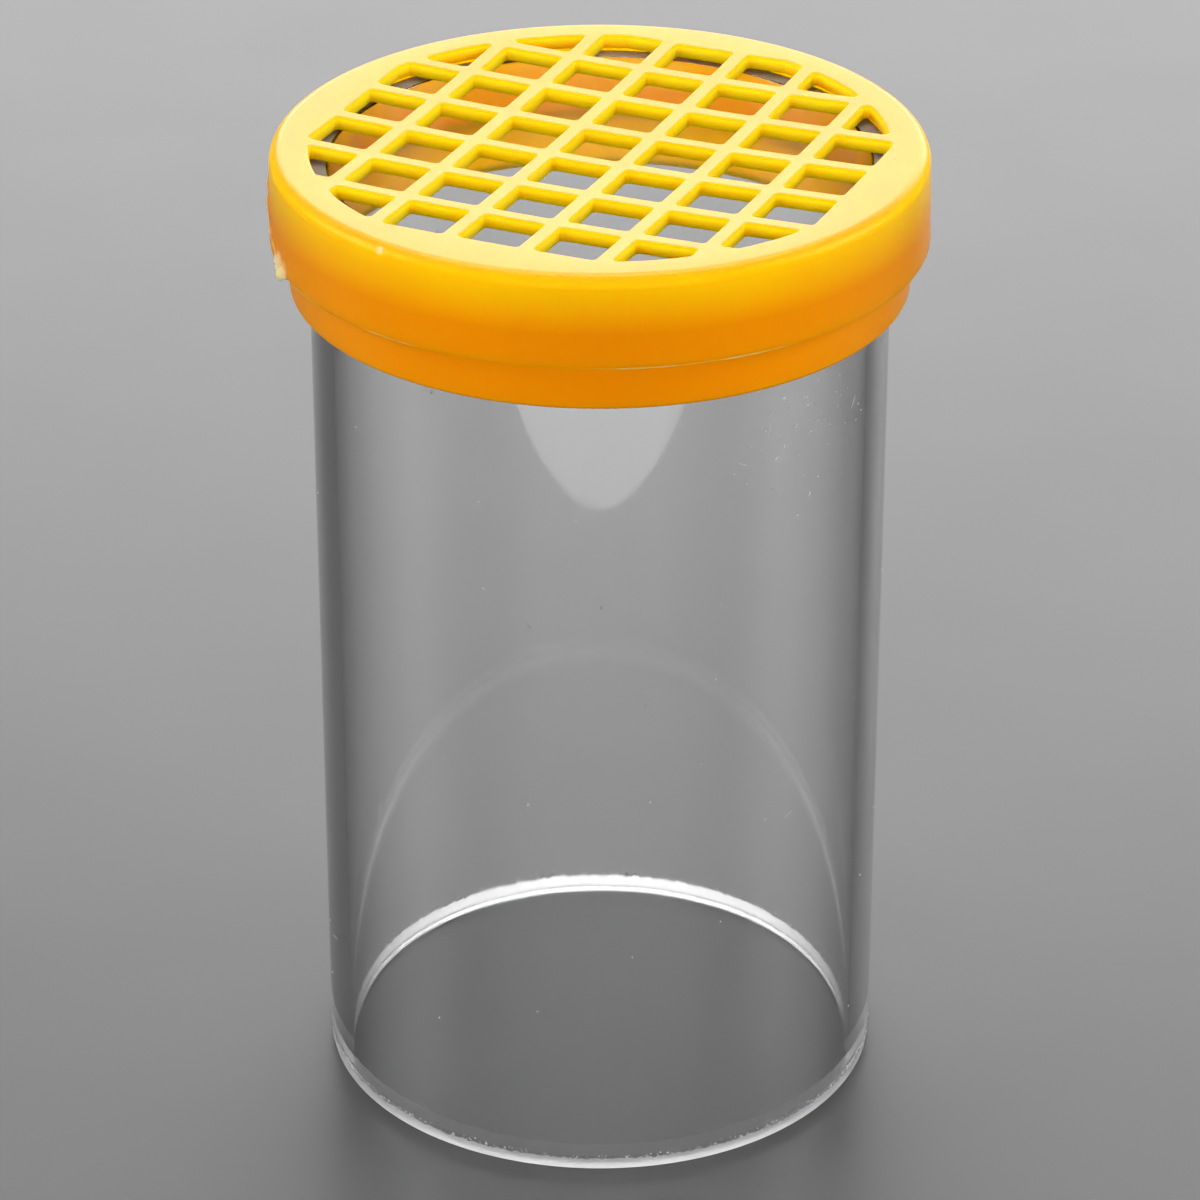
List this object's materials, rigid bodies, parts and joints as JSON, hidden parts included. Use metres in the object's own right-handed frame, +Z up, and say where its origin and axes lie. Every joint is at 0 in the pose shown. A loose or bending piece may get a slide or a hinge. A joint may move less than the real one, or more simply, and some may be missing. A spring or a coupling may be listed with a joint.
{
  "type": "queen cage",
  "caption": "Clear round tube, open at its foot, closed at the top by a yellow push-on lid with a square grille, for holding a queen bee.",
  "frame": {"origin": "centre of the tube's foot, where the cage stands", "axes": "+Z up along the tube's axis towards the lid; the grille's bars are turned 23.6 degrees clockwise from +X as seen from above"},
  "size_m": [0.0452, 0.0452, 0.0705],
  "materials": {
    "clear_acrylic": "clear, polished, with cut ends that catch the light",
    "yellow_plastic": "slightly translucent moulded plastic, satin on top and glossy at the side"
  },
  "bodies": {
    "tube": {"tube": "clear_acrylic"},
    "lid": {"lid": "yellow_plastic"}
  },
  "joints": [
    {"name": "lid_lift", "type": "slide", "parent": "tube", "child": "lid", "axis": [0, 0, 1], "range_m": [0, 0.025]}
  ]
}
